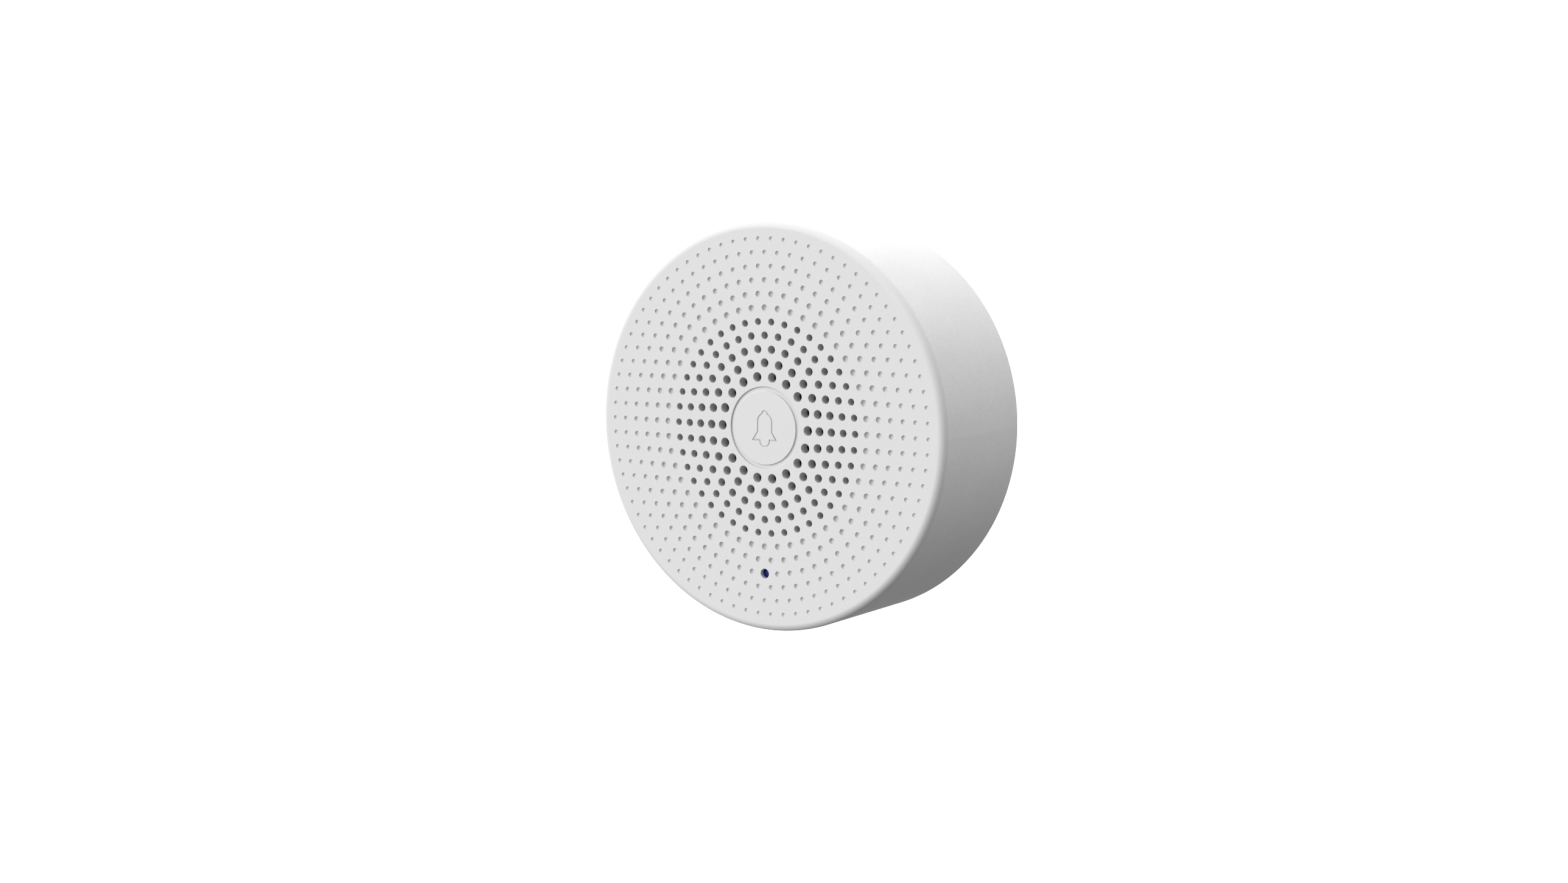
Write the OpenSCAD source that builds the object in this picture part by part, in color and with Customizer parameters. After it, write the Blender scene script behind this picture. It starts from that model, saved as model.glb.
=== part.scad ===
// Round wall alarm siren. The wall plane is y = 0, the front faces -Y and Z is up.
// The origin is the centre of the wall bracket's back face.
// Each part is drawn with local z as its distance from the wall, then turned by upright().

/* [Body] */
// Outside diameter of the housing
body_d = 80; // [80:1:84]
// Depth from the wall to the front face
body_depth = 29.2; // [29.2:0.2:31]
// Radius of the rounded front rim
rim_r = 1.4; // [1.2:0.1:1.6]
// Thickness of the housing wall
wall = 2; // [1.8:0.1:2.2]
// Thickness of the front face
face_t = 2.2; // [2:0.1:2.4]
// Width of the parting line under the rim
seam_gap = 0.12; // [0.1:0.02:0.2]

/* [Grille] */
// Number of rings that are open sound holes
sound_rings = 5; // [3:1:5]
// Number of rings that are open holes or blind dimples
all_rings = 11; // [8:1:11]
// Number of holes in the first ring
first_ring_holes = 18; // [12:6:18]
// Number of holes that each next ring gains
holes_per_step = 6; // [4:2:6]
// Diameter of the holes in the first sound ring
sound_d_first = 1.89; // [1.6:0.01:1.9]
// Diameter of the holes in the last sound ring
sound_d_last = 1.36; // [1.2:0.01:1.5]
// Diameter of the dimples in the first dimple ring
dimple_d_first = 1.3; // [1:0.01:1.4]
// Diameter of the dimples in the last ring
dimple_d_last = 0.77; // [0.6:0.01:0.9]
// Depth of a dimple as a share of its diameter
dimple_depth = 0.42; // [0.3:0.02:0.46]

/* [Button] */
// Diameter of the button's face
button_d = 14.4; // [13:0.2:14.6]
// Width of the groove round the button
groove_w = 0.84; // [0.7:0.02:0.9]
// Depth of the groove round the button
groove_depth = 0.56; // [0.54:0.02:0.7]
// How far the button travels when pressed
button_travel = 0.5; // [0.3:0.1:0.5]
// Width of the engraved bell's line
bell_line = 0.34; // [0.22:0.02:0.4]
// Depth of the engraved bell's line
bell_depth = 0.25; // [0.15:0.05:0.3]

/* [Indicator] */
// Diameter of the indicator hole
led_d = 1.93; // [1.6:0.01:2]
// Ring whose lowest dimple is the indicator hole
led_ring = 8; // [8:2:8]
// How far the light pipe's tip lies behind the face
led_recess = 1; // [0.8:0.1:1.2]

/* [Wall bracket] */
// Thickness of the bracket plate
bracket_t = 2.2; // [2.2:0.1:2.3]
// Gap between the bracket's edge and the housing wall
bracket_gap = 1; // [0.8:0.1:1.2]
// Distance between the two wall screws
screw_spacing = 48; // [44:1:50]
// Diameter of the wall screw holes
wall_hole_d = 4.2; // [4:0.1:4.6]
// Turn of the bayonet from locked to free, in degrees
twist = 20; // [18:1:20]

/* [Cells] */
// Diameter of one cell
cell_d = 10.5; // [10:0.1:10.5]
// Length of one cell with its button
cell_l = 44.5; // [43:0.5:44.5]
// Distance between the cells' axes
cell_pitch = 11; // [10.8:0.1:11]

/* [Speaker] */
// Outside diameter of the speaker
speaker_d = 40; // [38:1:40]

/* [Hidden] */
$fn = 96;
e = 0.01;

body_r = body_d / 2;
inner_r = body_r - wall;

// Heights above the wall, from the back to the front
rim_back_z = 0.3;
floor_back_z = bracket_t + 0.7;
floor_z = floor_back_z + 1.8;
bay_roof_back_z = 13.9;
bay_roof_z = bay_roof_back_z + 1.2;
speaker_z = bay_roof_z + 0.2;
flange_z = 20.4;
collar_z = flange_z + 0.8;
board_z = 22.2;
board_front_z = board_z + 1.6;
face_back_z = body_depth - face_t;
seam_z = body_depth - rim_r;
housing_front_z = seam_z - seam_gap;

// Grille
ring_pitch = body_d / 30;
first_ring_r = 3.75 * ring_pitch;
led_r = first_ring_r + (led_ring - 1) * ring_pitch;

// Button, from its flange forward
button_r = button_d / 2;
opening_r = button_r + groove_w;
button_pocket_r = opening_r + 0.67;
button_flange_r = button_pocket_r - 0.3;
button_flange_front_z = body_depth - groove_depth;
button_lip_back_z = button_flange_front_z + 0.08;
button_flange_t = 1.1;
button_flange_z = button_flange_front_z - button_flange_t;
button_leg_x = 6.6;
tact_top_z = 26;
plunger_top_z = 26.9;

// Joining screws and bosses: distance from the centre and clock angles
cover_boss_r = 33;
cover_boss_angles = [100, 220, 340];
cover_boss_end_z = 20;
cover_screw_seat_z = 10;
board_boss_r = 28;
board_boss_angles = [40, 160, 280];
retainer_post_r = 24.2;

// Bayonet studs on the bracket, at rest in the narrow ends of the housing's slots
stud_r = 33.5;
stud_angles = [75, 195, 315];
stud_half_angle = 3.4;
stud_stem_half = 1.2;
stud_head_half = 2.8;
stud_head_z = floor_z + 0.2;
stud_head_t = 1.2;

// Tamper plunger, its clock angle at rest and the ramp that presses it
tamper_r = 29;
tamper_angle = 130;
tamper_x = tamper_r * cos(tamper_angle);
tamper_y = tamper_r * sin(tamper_angle);
tamper_travel = 1.2;
tamper_tip_z = floor_back_z - 0.15;
tamper_rod_r = 1.4;
tamper_flange_z = floor_z + tamper_travel + 0.1;
tamper_switch_z = 9.5;

// Cells lie across the back of the housing
bay_x = 26;
bay_y = cell_pitch + cell_d / 2 + 0.75;
bay_wall = 1.2;
cell_z = bracket_t + 1 + cell_d / 2;
cell_nub_l = 1;
cell_end_x = 25.4;
contact_x = 25.5;
contact_t = 0.4;
tab_z = 11.5;

speaker_r = speaker_d / 2;
collar_r = speaker_r + 0.25;
collar_t = 1.5;

function ring_r(ring) = first_ring_r + (ring - 1) * ring_pitch;
function ring_holes(ring) = first_ring_holes + holes_per_step * (ring - 1);
function hole_angle(ring, i) = 90 + (i + (ring % 2) / 2) * 360 / ring_holes(ring);
function mix(a, b, t) = a + (b - a) * t;
function sound_d(ring) = mix(sound_d_first, sound_d_last, (ring - 1) / (sound_rings - 1));
function dimple_d(ring) =
    mix(dimple_d_first, dimple_d_last, (ring - sound_rings - 1) / (all_rings - sound_rings - 1));

// Turns local z, the distance from the wall, to row -Y, and local y to row Z
module upright() {
    rotate([90, 0, 0]) children();
}

module at_clock(r, angle, z = 0) {
    rotate([0, 0, angle]) translate([r, 0, z]) children();
}

module disc(r, z0, z1) {
    translate([0, 0, z0]) cylinder(r = r, h = z1 - z0);
}

module ring(r_in, r_out, z0, z1) {
    difference() {
        disc(r_out, z0, z1);
        disc(r_in, z0 - 1, z1 + 1);
    }
}

// A block that follows an arc round the centre
module arc_block(r_in, r_out, a0, a1, z0, z1) {
    rotate([0, 0, a0])
        rotate_extrude(angle = a1 - a0)
            translate([r_in, z0]) square([r_out - r_in, z1 - z0]);
}

module box(x0, x1, y0, y1, z0, z1) {
    translate([x0, y0, z0]) cube([x1 - x0, y1 - y0, z1 - z0]);
}

function unit(v) = v / norm(v);
function along(path, i) = unit(path[min(i + 1, len(path) - 1)] - path[max(i - 1, 0)]);
function between(a, b, c, d, t) =
    b + (c - a) * t / 2 + (a - 2.5 * b + 2 * c - d / 2) * t * t + (3 * b - a - 3 * c + d) * t * t * t / 2;
function smooth(p, steps) = concat(
    [for (i = [0 : len(p) - 2]) for (k = [0 : steps - 1])
        between(p[max(i - 1, 0)], p[i], p[i + 1], p[min(i + 2, len(p) - 1)], k / steps)],
    [p[len(p) - 1]]);

// The faces that close a tube of rings of points
function tube_faces(rings, sides) = concat(
    [[for (s = [0 : sides - 1]) s]],
    [for (i = [0 : rings - 2]) for (s = [0 : sides - 1])
        let (n = (s + 1) % sides)
        [i * sides + s, (i + 1) * sides + s, (i + 1) * sides + n, i * sides + n]],
    [[for (s = [sides - 1 : -1 : 0]) (rings - 1) * sides + s]]);

// A round wire along a smooth curve through the points, none of it level with local y
module wire(points, r) {
    sides = 8;
    path = smooth(points, 4);
    ring_points = [for (i = [0 : len(path) - 1]) for (s = [0 : sides - 1])
        let (d = along(path, i), u = unit(cross(d, [0, 1, 0])), w = cross(d, u), b = 360 * s / sides)
        path[i] + r * (cos(b) * u + sin(b) * w)];
    polyhedron(points = ring_points, faces = tube_faces(len(path), sides));
}

// A coil of round wire along z: r0 and r1 are its radii at the bottom and the top
module coil(r0, r1, length, turns, wire_r) {
    sides = 8;
    steps = 14 * turns;
    ring_points = [for (i = [0 : steps]) for (s = [0 : sides - 1])
        let (t = i / steps, a = 360 * turns * t, b = 360 * s / sides)
        let (r = mix(r0, r1, t) + wire_r * cos(b))
        [r * cos(a), r * sin(a), length * t + wire_r * sin(b)]];
    polyhedron(points = ring_points, faces = tube_faces(steps + 1, sides));
}

// A cross-head screw that points to +z from the underside of its head
module screw(head_r, head_h, shank_r, length) {
    slot_w = 0.6;
    slot_l = 1.3 * head_r;
    difference() {
        union() {
            translate([0, 0, -head_h]) cylinder(r = head_r, h = head_h, $fn = 32);
            cylinder(r = shank_r, h = length, $fn = 32);
        }
        for (a = [0, 90])
            rotate([0, 0, a])
                translate([-slot_l / 2, -slot_w / 2, -head_h - e]) cube([slot_l, slot_w, head_h * 0.6]);
    }
}

// The wedge on the bracket that presses the tamper plunger, drawn at the middle of the turn
module tamper_ramp_shape(z_top) {
    half = tamper_r * sin(twist / 2);
    slope = tamper_travel / (2 * half);
    run = half + 2.2;
    high_z = tamper_tip_z - 0.2;
    pocket_z = 0.8;
    rotate([0, 0, tamper_angle + twist / 2])
        translate([tamper_r + 2, 0, 0])
            rotate([0, -90, 0])
                linear_extrude(height = 4.6)
                    polygon(z_top
                        ? [[pocket_z, -run], [5, -run], [5, run], [pocket_z, run]]
                        : [[pocket_z - e, -run], [high_z, -run], [high_z, -half],
                            [high_z - slope * (run + half), run], [pocket_z - e, run]]);
}

module wall_bracket() {
    plate_r = inner_r - bracket_gap;
    pad_z = floor_back_z - 0.15;
    countersink = 1.2;
    color("whitesmoke") upright() {
        difference() {
            union() {
                disc(plate_r, 0, bracket_t);
                for (a = stud_angles)
                    arc_block(stud_r - stud_head_half, stud_r + stud_head_half,
                        a - stud_half_angle, a + stud_half_angle, bracket_t - e, pad_z);
            }
            for (x = [-screw_spacing / 2, screw_spacing / 2])
                translate([x, 0, 0]) {
                    translate([0, 0, -1]) cylinder(d = wall_hole_d, h = bracket_t + 2, $fn = 48);
                    translate([0, 0, bracket_t - countersink])
                        cylinder(r1 = wall_hole_d / 2, r2 = wall_hole_d / 2 + 1.8,
                            h = countersink + e, $fn = 48);
                }
            tamper_ramp_shape(true);
            finger_notch();
        }
        tamper_ramp_shape(false);
        for (a = stud_angles) {
            arc_block(stud_r - stud_stem_half, stud_r + stud_stem_half,
                a - stud_half_angle, a + stud_half_angle, pad_z - e, stud_head_z + e);
            arc_block(stud_r - stud_head_half, stud_r + stud_head_half,
                a - stud_half_angle, a + stud_half_angle, stud_head_z, stud_head_z + stud_head_t);
        }
        for (r = [12, 18])
            ring(r - 0.6, r + 0.6, bracket_t - e, bracket_t + 0.5);
    }
}

// A notch at the foot of the bracket where a coin or fingernail starts the removal
module finger_notch() {
    translate([0, -(inner_r - bracket_gap) - 2, -1]) cylinder(r = 5, h = bracket_t + 2, $fn = 64);
}

// An L-shaped bayonet slot: a wide window at one end and a narrow arc to the locked end
module bayonet_slot(angle) {
    play = 0.8;
    arc_block(stud_r - stud_stem_half - 0.3, stud_r + stud_stem_half + 0.3,
        angle - twist - stud_half_angle - play, angle + stud_half_angle + play,
        floor_back_z - 1, floor_z + 1);
    arc_block(stud_r - stud_head_half - 0.3, stud_r + stud_head_half + 0.3,
        angle - twist - stud_half_angle - play, angle - twist + stud_half_angle + play,
        floor_back_z - 1, floor_z + 1);
}

// The hollow of the cell bay, open to the back, and the cells' cradle ribs left in it
module cell_bay_hollow() {
    difference() {
        box(-bay_x, bay_x, -bay_y, bay_y, floor_back_z - 1, bay_roof_back_z);
        for (x = [-12, 12])
            difference() {
                box(x - 0.6, x + 0.6, -bay_y, bay_y, 9.5, bay_roof_back_z + 1);
                for (y = [-cell_pitch, 0, cell_pitch])
                    translate([x - 1, y, cell_z]) rotate([0, 90, 0]) cylinder(d = cell_d + 0.3, h = 2);
            }
    }
}

module rear_housing() {
    ledge_back_z = board_z + 0.4;
    ledge_z = ledge_back_z + 1.4;
    post_r = 1.9;
    color("white") upright() difference() {
        union() {
            ring(inner_r, body_r, rim_back_z, housing_front_z);
            ring(inner_r - 1.8, inner_r + 0.2, ledge_back_z, ledge_z);
            disc(inner_r + 0.2, floor_back_z, floor_z);
            box(-bay_x - bay_wall, bay_x + bay_wall, -bay_y - bay_wall, bay_y + bay_wall,
                floor_z - e, bay_roof_z);
            ring(collar_r, collar_r + collar_t, bay_roof_back_z, collar_z);
            for (s = [-1, 1])
                box(-1, 1, min(s * bay_y, s * (collar_r + collar_t)),
                    max(s * bay_y, s * (collar_r + collar_t)), floor_z - e, bay_roof_back_z + e);
            for (a = cover_boss_angles) {
                at_clock(cover_boss_r, a) disc(3.7, floor_back_z, cover_boss_end_z - 0.1);
                at_clock(retainer_post_r, a) disc(post_r, floor_z - e, collar_z);
            }
            tamper_switch_posts();
        }
        cell_bay_hollow();
        disc(collar_r, bay_roof_z, board_z);
        for (a = cover_boss_angles) {
            at_clock(cover_boss_r, a) disc(1.3, 0, board_z);
            at_clock(cover_boss_r, a) disc(2.8, 0, cover_screw_seat_z);
            at_clock(retainer_post_r, a) disc(0.92, bay_roof_z + 0.5, board_z);
        }
        for (a = stud_angles) bayonet_slot(a);
        translate([tamper_x, tamper_y, 0]) disc(tamper_rod_r + 0.08, 0, floor_z + 1);
        box(-collar_r - collar_t - 1, -collar_r + 1, -3.2, 3.2, 17.4, board_z);
        box(-bay_x - bay_wall - 1, -bay_x + 1, -cell_pitch - 1.5, -cell_pitch + 1.5,
            tab_z - 0.4, tab_z + 0.4);
        box(bay_x - 1, bay_x + bay_wall + 1, cell_pitch - 1.5, cell_pitch + 1.5,
            tab_z - 0.4, tab_z + 0.4);
    }
}

// Two ribs that the tamper switch stands on
module tamper_switch_posts() {
    for (s = [-1, 1])
        translate([tamper_x, tamper_y, 0])
            box(s * 3 - 0.45, s * 3 + 0.45, -3, 3, floor_z - e, tamper_switch_z);
}

// The front plate with its rounded rim, spun from one profile
module cover_profile() {
    spigot_t = 1.4;
    spigot_r = inner_r - 0.1;
    spigot_z = face_back_z - 2;
    difference() {
        rotate_extrude($fn = 240) {
            translate([body_r - rim_r, seam_z]) intersection() {
                circle(r = rim_r, $fn = 96);
                square(rim_r);
            }
            translate([0, seam_z]) square([body_r - rim_r, rim_r]);
            translate([0, face_back_z]) square([spigot_r, seam_z - face_back_z + e]);
            translate([spigot_r - spigot_t, spigot_z]) square([spigot_t, face_back_z - spigot_z + e]);
        }
        disc(opening_r, face_back_z - 1, body_depth + 1);
        disc(button_pocket_r, face_back_z - 1, button_lip_back_z);
    }
}

module sound_holes() {
    for (k = [1 : sound_rings])
        for (i = [0 : ring_holes(k) - 1])
            at_clock(ring_r(k), hole_angle(k, i), face_back_z - 1)
                cylinder(d = sound_d(k), h = face_t + 2, $fn = 32);
}

module dimples() {
    for (k = [sound_rings + 1 : all_rings])
        for (i = [0 : ring_holes(k) - 1])
            if (k != led_ring || 2 * i != ring_holes(k)) dimple(k, hole_angle(k, i));
}

// A ball that cuts a round dimple of the ring's diameter and depth
module dimple(ring_number, angle) {
    mouth_r = dimple_d(ring_number) / 2;
    depth = 2 * mouth_r * dimple_depth;
    ball_r = (mouth_r * mouth_r + depth * depth) / (2 * depth);
    at_clock(ring_r(ring_number), angle, body_depth - depth + ball_r) sphere(r = ball_r, $fn = 32);
}

module front_cover() {
    color("gainsboro") upright() difference() {
        union() {
            cover_profile();
            for (a = cover_boss_angles)
                at_clock(cover_boss_r, a) disc(2.8, cover_boss_end_z, face_back_z + e);
            for (a = board_boss_angles)
                at_clock(board_boss_r, a) disc(2.3, board_front_z, face_back_z + e);
        }
        sound_holes();
        dimples();
        at_clock(led_r, 270) disc(led_d / 2, face_back_z - 1, body_depth + 1);
        for (a = cover_boss_angles)
            at_clock(cover_boss_r, a) disc(1.12, cover_boss_end_z - 1, face_back_z + 0.4);
        for (a = board_boss_angles)
            at_clock(board_boss_r, a) disc(0.92, board_front_z - 1, face_back_z + 0.4);
    }
}

module cover_gasket() {
    color("dimgray") upright() ring(inner_r - 1.4, inner_r - 0.2, board_z + 1.82, face_back_z - 2.02);
}

module acoustic_mesh() {
    color("black") upright() ring(button_pocket_r + 0.3, ring_r(sound_rings) + 1.7,
        face_back_z - 0.3, face_back_z - 0.02);
}

module engraved_line(p, q) {
    v = q - p;
    translate([p[0], p[1], body_depth - bell_depth])
        rotate([0, 0, atan2(v[1], v[0])])
            translate([-bell_line / 2, -bell_line / 2, 0])
                cube([norm(v) + bell_line, bell_line, bell_depth + 1]);
}

module engraved_arc(centre, r, a0, a1) {
    translate([centre[0], centre[1], 0])
        arc_block(r - bell_line / 2, r + bell_line / 2, a0, a1, body_depth - bell_depth, body_depth + 1);
}

// A bell drawn as one outline: knob, dome, straight sides, flared foot and clapper
module engraved_bell() {
    side_x = 1.65;
    dome_y = 1.2;
    knob_r = 0.48;
    knob_y = 2.85;
    knob_start = -8;
    dome_end = 73;
    flare_y = -0.8;
    foot = [2.75, -2.37];
    clapper_r = 1.14;
    clapper_y = -2.6;
    engraved_arc([0, knob_y], knob_r, knob_start, 180 - knob_start);
    engraved_arc([0, dome_y], side_x, 0, dome_end);
    engraved_arc([0, dome_y], side_x, 180 - dome_end, 180);
    engraved_arc([0, clapper_y], clapper_r, 180, 360);
    for (s = [-1, 1]) {
        engraved_line([s * side_x, flare_y], [s * side_x, dome_y]);
        engraved_line([s * side_x, flare_y], [s * foot[0], foot[1]]);
        engraved_line([s * foot[0], foot[1]], [s * clapper_r, foot[1]]);
        engraved_line([s * clapper_r, foot[1]], [s * clapper_r, clapper_y]);
    }
}

module bell_button() {
    color("gainsboro") upright() difference() {
        union() {
            disc(button_r, button_flange_front_z - e, body_depth);
            disc(button_flange_r, button_flange_z, button_flange_front_z);
            disc(1.5, plunger_top_z + 0.02, button_flange_z + e);
            for (s = [-1, 1])
                box(s * button_leg_x - 0.5, s * button_leg_x + 0.5, -1.2, 1.2,
                    board_front_z + 0.8, button_flange_z + e);
        }
        engraved_bell();
    }
}

module button_guide() {
    color("dimgray") upright() difference() {
        ring(5.2, button_flange_r + 0.1, board_front_z + 0.01, face_back_z - 0.2);
        for (s = [-1, 1])
            box(s * button_leg_x - 0.65, s * button_leg_x + 0.65, -1.35, 1.35,
                board_front_z - 1, face_back_z + 1);
    }
}

module tact_switch() {
    half = 3.1;
    color("darkslategray") upright() difference() {
        box(-half, half, -half, half, board_front_z + 0.01, tact_top_z);
        disc(1.8, tact_top_z - 1.4, tact_top_z + 1);
    }
}

module tact_plunger() {
    color("saddlebrown") upright() disc(1.7, tact_top_z - 0.7, plunger_top_z);
}

module light_pipe() {
    flange_back_z = face_back_z - 1;
    color("midnightblue") upright() at_clock(led_r, 270) {
        disc(1.1, board_front_z + 1.1, flange_back_z + e);
        disc(1.7, flange_back_z, face_back_z - 0.02);
        disc(led_d / 2 - 0.03, face_back_z - 0.02 - e, body_depth - led_recess);
    }
}

module status_led() {
    color("lightyellow") upright() at_clock(led_r, 270) {
        box(-0.8, 0.8, -0.6, 0.6, board_front_z + 0.01, board_front_z + 0.5);
        disc(0.5, board_front_z + 0.5 - e, board_front_z + 0.8);
    }
}

module main_board() {
    window_in = 9.6;
    window_out = 17.3;
    spoke_angle = 24;
    color("seagreen") upright() difference() {
        disc(inner_r - 2.5, board_z, board_front_z);
        for (a = board_boss_angles) {
            arc_block(window_in, window_out, a + spoke_angle / 2, a + 120 - spoke_angle / 2,
                board_z - 1, board_front_z + 1);
            at_clock(board_boss_r, a) disc(1.1, board_z - 1, board_front_z + 1);
        }
        for (a = cover_boss_angles)
            at_clock(cover_boss_r, a) {
                disc(3.6, board_z - 1, board_front_z + 1);
                box(0, 6, -3.6, 3.6, board_z - 1, board_front_z + 1);
            }
    }
}

module microcontroller() {
    half = 3.5;
    color("black") upright() at_clock(27, 0) {
        difference() {
            box(-half, half, -half, half, board_front_z + 0.01, board_front_z + 0.9);
            translate([-half + 1, half - 1, 0]) disc(0.4, board_front_z + 0.8, board_front_z + 1);
        }
    }
}

module radio_shield() {
    color("silver") upright() at_clock(27, 75) difference() {
        box(-4.5, 4.5, -7, 7, board_front_z + 0.01, board_front_z + 2.2);
        box(-4.3, 4.3, -6.8, 6.8, board_front_z - 1, board_front_z + 2);
        for (y = [-4, 0, 4]) translate([-2.5, y, 0]) disc(0.5, board_front_z + 1, board_front_z + 3);
    }
}

module crystal() {
    color("silver") upright() at_clock(29, 305) {
        for (y = [-3, 3]) translate([0, y, 0]) disc(1.9, board_z - 3.6, board_z - 0.01);
        box(-1.9, 1.9, -3, 3, board_z - 3.6, board_z - 0.01);
    }
}

module capacitors() {
    can_r = 3.1;
    color("dimgray") upright()
        for (a = [-6, 8])
            at_clock(31, a) difference() {
                disc(can_r, board_z - 7.7, board_z - 0.01);
                for (t = [0, 90])
                    rotate([0, 0, t]) box(-2.2, 2.2, -0.12, 0.12, board_z - 8, board_z - 7.55);
                ring(can_r - 0.25, can_r + 1, board_z - 1.8, board_z - 1.2);
            }
}

module antenna() {
    bottom_z = 11;
    wire_r = 0.3;
    color("goldenrod") upright() at_clock(29, 60, bottom_z)
        coil(2.1, 2.1, board_z - bottom_z - wire_r - 0.02, 7, wire_r);
}

module speaker_socket() {
    color("ivory") upright() difference() {
        box(-30, -25, -3.2, 3.2, board_z - 4.6, board_z - 0.01);
        box(-28.6, -24, -2.6, 2.6, board_z - 4, board_z - 0.6);
    }
}

module speaker_plug() {
    color("ivory") upright() box(-28.4, -23.4, -2.4, 2.4, board_z - 3.8, board_z - 0.9);
}

module speaker_wires() {
    z = board_z - 2.4;
    color("firebrick") upright()
        for (s = [-1, 1])
            wire([[-23.42, s * 1.2, z], [-22.2, s * 1.2, z], [-20.6, s * 1.2, z - 0.5],
                [-19, s * 1.2, z - 0.5]], 0.4);
}

// The pressed steel basket, with a strip for the wires under its rim
module speaker_frame() {
    color("gray") upright() {
        rotate_extrude()
            polygon([[9.1, 17.4], [12.2, 17.4], [17.6, flange_z], [speaker_r, flange_z],
                [speaker_r, collar_z], [17.2, collar_z], [11.8, 18.1], [9.1, 18.1]]);
        box(-19.4, -18.2, -2.2, 2.2, flange_z - 0.6, flange_z + e);
    }
}

module speaker_yoke() {
    color("silver") upright() difference() {
        disc(9.05, speaker_z, 18.2);
        disc(7.3, speaker_z + 0.9, 19);
    }
}

module speaker_magnet() {
    color("dimgray") upright() disc(5.6, speaker_z + 0.92, speaker_z + 2.3);
}

module speaker_pole_plate() {
    color("silver") upright() disc(5.8, speaker_z + 2.32, 18.2);
}

module voice_coil() {
    color("chocolate") upright() ring(6.2, 6.7, speaker_z + 1.4, 19.5);
}

module speaker_cone() {
    color("darkslategray") upright() rotate_extrude()
        polygon([[6.72, 18.9], [7.1, 18.9], [15.7, 20.9], [15.7, 21.2], [7, 19.2], [6.72, 19.2]]);
}

// The half-round roll between the cone and the basket
module speaker_surround() {
    roll_r = 16.6;
    color("black") upright() rotate_extrude() {
        translate([roll_r, 21.22]) intersection() {
            difference() {
                circle(r = 0.8, $fn = 48);
                circle(r = 0.55, $fn = 48);
            }
            translate([-1, 0]) square([2, 1]);
        }
        translate([roll_r + 0.55, 21.22]) square([0.5, 0.25]);
        translate([roll_r - 1.2, 21.22]) square([0.65, 0.25]);
    }
}

module speaker_dust_cap() {
    dome_r = 12;
    rim = 6.15;
    base_z = 19.25;
    drop = sqrt(dome_r * dome_r - rim * rim);
    color("black") upright() intersection() {
        translate([0, 0, base_z - drop]) difference() {
            sphere(r = dome_r);
            sphere(r = dome_r - 0.3);
        }
        disc(rim, base_z, base_z + 5);
    }
}

module speaker_gasket() {
    color("black") upright() ring(17.8, 18.8, collar_z + 0.02, board_z - 0.05);
}

module speaker_retainer() {
    color("dimgray") upright() difference() {
        union() {
            ring(18.9, collar_r + collar_t, collar_z + 0.02, collar_z + 0.7);
            for (a = cover_boss_angles) at_clock(retainer_post_r, a) {
                disc(2, collar_z + 0.02, collar_z + 0.7);
                box(-4, 0, -2, 2, collar_z + 0.02, collar_z + 0.7);
            }
        }
        disc(18.9, collar_z - 1, collar_z + 2);
        for (a = cover_boss_angles) at_clock(retainer_post_r, a) disc(1, collar_z - 1, collar_z + 2);
    }
}

module retainer_screws() {
    color("silver") upright()
        for (a = cover_boss_angles)
            at_clock(retainer_post_r, a, collar_z + 0.72)
                rotate([180, 0, 0]) screw(1.6, 0.25, 0.88, 5);
}

// One cell along x: its button points to +x when side is 1 and to -x when side is -1
module cell(y, side) {
    color("steelblue") upright() translate([0, y, cell_z]) rotate([0, side * 90, 0]) {
        translate([0, 0, cell_end_x - cell_l])
            cylinder(d = cell_d, h = cell_l - cell_nub_l);
        translate([0, 0, cell_end_x - cell_nub_l - e]) cylinder(r = 1.9, h = cell_nub_l + e);
    }
}

module cell_a() {
    cell(-cell_pitch, 1);
}

module cell_b() {
    cell(0, -1);
}

module cell_c() {
    cell(cell_pitch, 1);
}

// A sprung coil behind the flat end of each cell
module cell_springs() {
    gap = cell_l - cell_end_x;
    color("silver") upright()
        for (row = [[-1, 1], [0, -1], [1, 1]])
            translate([0, row[0] * cell_pitch, cell_z])
                rotate([0, -row[1] * 90, 0])
                    translate([0, 0, gap + 0.35])
                        coil(2.2, 3.6, contact_x - gap - 0.75, 3, 0.3);
}

// Flat spring-steel plates at both ends of the bay; two carry solder tabs through the walls
module cell_contacts() {
    plate = 4;
    color("gold") upright() {
        for (s = [-1, 1])
            for (y = [-cell_pitch, 0, cell_pitch])
                box(min(s * contact_x, s * (contact_x + contact_t)),
                    max(s * contact_x, s * (contact_x + contact_t)),
                    y - plate, y + plate, cell_z - plate, cell_z + plate);
        box(contact_x, bay_x + bay_wall + 1.5, cell_pitch - 1.2, cell_pitch + 1.2,
            tab_z - 0.2, tab_z + 0.2);
        box(-bay_x - bay_wall - 1.5, -contact_x, -cell_pitch - 1.2, -cell_pitch + 1.2,
            tab_z - 0.2, tab_z + 0.2);
    }
}

module red_wire() {
    color("red") upright()
        wire([[28.2, 11, tab_z + 0.85], [29.4, 12.6, 14.5], [29, 14, 18.5], [28, 14.6, board_z - 0.65]], 0.6);
}

module black_wire() {
    color("black") upright()
        wire([[-28.2, -11, tab_z + 0.85], [-29.4, -12, 15], [-28.6, -12.6, board_z - 0.65]], 0.6);
}

module tamper_switch() {
    color("darkslategray") upright() translate([tamper_x, tamper_y, 0]) difference() {
        box(-3.5, 3.5, -3.5, 3.5, tamper_switch_z + 0.01, 13);
        disc(1.1, tamper_switch_z - 1, 11.5);
    }
}

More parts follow.
